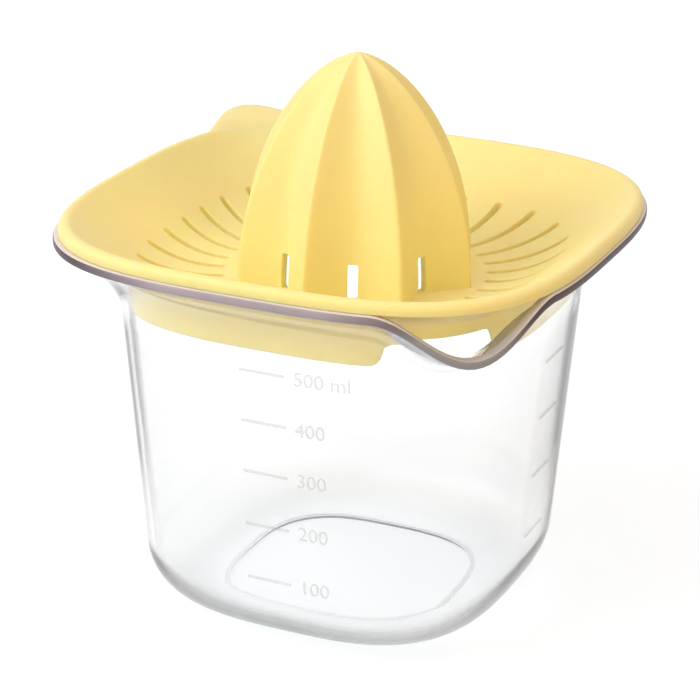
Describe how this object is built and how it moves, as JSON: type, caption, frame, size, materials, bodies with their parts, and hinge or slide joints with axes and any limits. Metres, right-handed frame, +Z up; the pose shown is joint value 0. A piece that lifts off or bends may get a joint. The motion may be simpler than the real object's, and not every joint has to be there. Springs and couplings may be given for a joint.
{
  "type": "citrus juicer with jug",
  "caption": "Citrus juicer with a fluted cone in a slotted strainer dish with a lift tab, seated on a clear rounded-square measuring jug with a flared lip and a pouring spout.",
  "frame": {"origin": "on the table, under the middle of the jug", "axes": "+Z up. -Y is the face with the millilitre marks and +X the face with the fluid ounce marks. The spout points to the +X -Y corner and the lift tab to the -X +Y corner."},
  "size_m": [0.125, 0.125, 0.1321],
  "materials": {
    "clear_plastic": "clear and polished, moulded",
    "yellow_plastic": "satin, moulded"
  },
  "bodies": {
    "jug": {"jug": "clear_plastic"},
    "juicer": {"juicer": "yellow_plastic"}
  },
  "joints": [
    {"name": "juicer_lift", "type": "slide", "parent": "jug", "child": "juicer", "axis": [0, 0, 1], "range_m": [0, 0.06]}
  ]
}
